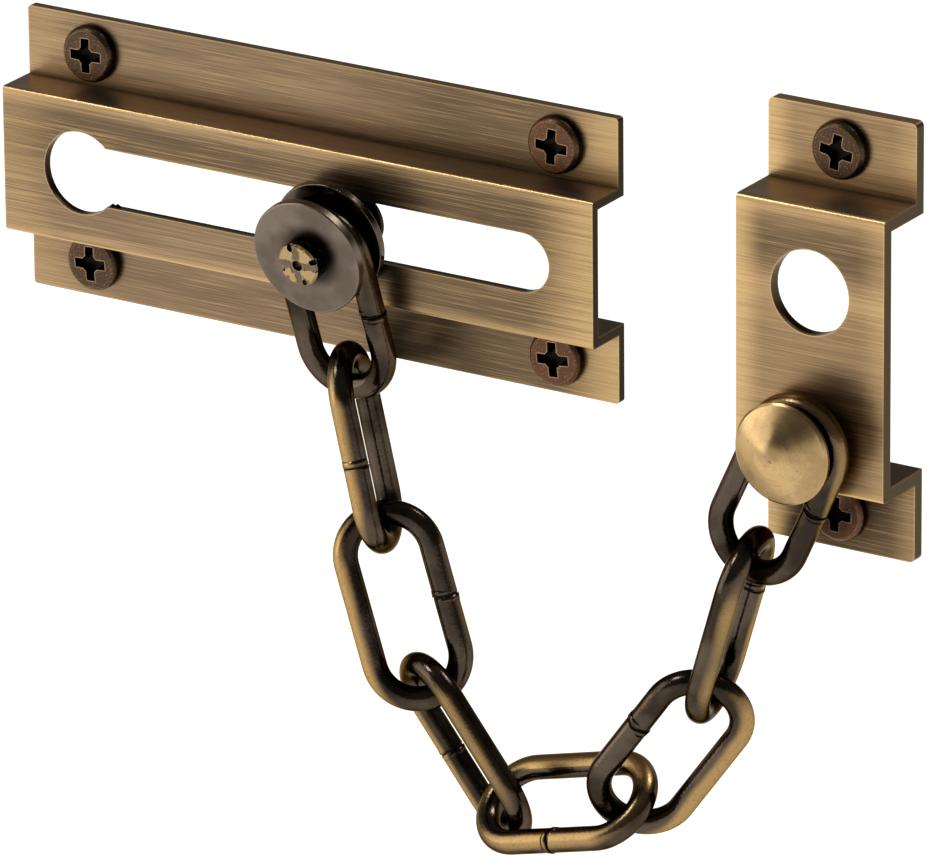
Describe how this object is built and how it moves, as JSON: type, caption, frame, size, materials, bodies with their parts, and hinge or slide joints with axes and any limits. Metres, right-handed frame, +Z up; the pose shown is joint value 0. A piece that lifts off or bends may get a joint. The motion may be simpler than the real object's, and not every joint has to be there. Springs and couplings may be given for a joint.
{
  "type": "door chain",
  "caption": "Door chain: a pressed slide plate with a keyhole slot and a keeper bracket with a headed stud, joined by a hanging chain of bent-wire links on a grooved slider.",
  "frame": {"origin": "middle of the slide plate's four screws, on the plane of the wall behind both plates", "axes": "+X along the slot towards the keeper, +Y into the wall, +Z up"},
  "size_m": [0.1426, 0.029, 0.1119],
  "materials": {
    "plate_brass": "brushed antique brass",
    "keeper_brass": "brushed antique brass",
    "stud_brass": "brushed antique brass",
    "screw_bronze": "copper-brown plated",
    "rivet_brass": "rough brass",
    "washer_black": "black-brown antique finish",
    "washer_grey": "satin grey-bronze",
    "link_bronze": "dark bronze with rubbed edges"
  },
  "bodies": {
    "plates": {"slide_plate": "plate_brass", "slide_plate_screws": "screw_bronze", "keeper_bracket": "keeper_brass", "keeper_stud": "stud_brass", "keeper_screws": "screw_bronze"},
    "slider": {"slider_rivet": "rivet_brass", "slider_inner_washer": "washer_black", "slider_front_washer": "washer_grey"},
    "link_1": {"chain_link_1": "link_bronze"},
    "link_2": {"chain_link_2": "link_bronze"},
    "link_3": {"chain_link_3": "link_bronze"},
    "link_4": {"chain_link_4": "link_bronze"},
    "link_5": {"chain_link_5": "link_bronze"},
    "link_6": {"chain_link_6": "link_bronze"},
    "link_7": {"chain_link_7": "link_bronze"},
    "link_8": {"chain_link_8": "link_bronze"}
  },
  "joints": [
    {"name": "slider_slide", "type": "slide", "parent": "plates", "child": "slider", "axis": [1, 0, 0], "range_m": [-0.0428, 0.0298]},
    {"name": "link_1_swing", "type": "hinge", "parent": "slider", "child": "link_1", "pos_m": [0.0071, -0.01329, -0.00135], "axis": [0, 0.9816, 0.1908], "range_deg": [-16, 11.2]},
    {"name": "link_8_swing", "type": "hinge", "parent": "plates", "child": "link_8", "pos_m": [0.0827, -0.0129, -0.0156], "axis": [0, 1, 0], "range_deg": [-14.5, 20.7]},
    {"name": "link_7_swing", "type": "hinge", "parent": "link_8", "child": "link_7", "pos_m": [0.07523, -0.01235, -0.03144], "axis": [0, 1, 0], "range_deg": [-5.7, 8.1]},
    {"name": "link_6_swing", "type": "hinge", "parent": "link_7", "child": "link_6", "pos_m": [0.06792, -0.0125, -0.05663], "axis": [0, 1, 0], "range_deg": [-17, 11.9]},
    {"name": "link_5_swing", "type": "hinge", "parent": "link_6", "child": "link_5", "pos_m": [0.05658, -0.01305, -0.0724], "axis": [0, 1, 0], "range_deg": [-15.5, 10.9]},
    {"name": "link_4_swing", "type": "hinge", "parent": "link_5", "child": "link_4", "pos_m": [0.03477, -0.0117, -0.07848], "axis": [0, 1, 0], "range_deg": [-3.1, 2.2]},
    {"name": "link_3_swing", "type": "hinge", "parent": "link_4", "child": "link_3", "pos_m": [0.0225, -0.01235, -0.06205], "axis": [0, 1, 0], "range_deg": [-11.2, 7.9]},
    {"name": "link_2_swing", "type": "hinge", "parent": "link_3", "child": "link_2", "pos_m": [0.0157, -0.01139, -0.04275], "axis": [0, 1, 0], "range_deg": [-8.1, 5.7]}
  ],
  "couplings": [
    {"joint": "link_1_swing", "follows": "slider_slide", "rad_per_m": 6.45},
    {"joint": "link_2_swing", "follows": "slider_slide", "rad_per_m": 3.25},
    {"joint": "link_3_swing", "follows": "slider_slide", "rad_per_m": 4.51},
    {"joint": "link_4_swing", "follows": "slider_slide", "rad_per_m": 1.21},
    {"joint": "link_5_swing", "follows": "slider_slide", "rad_per_m": 6.27},
    {"joint": "link_6_swing", "follows": "slider_slide", "rad_per_m": 6.86},
    {"joint": "link_7_swing", "follows": "slider_slide", "rad_per_m": -3.25},
    {"joint": "link_8_swing", "follows": "slider_slide", "rad_per_m": -8.39}
  ]
}
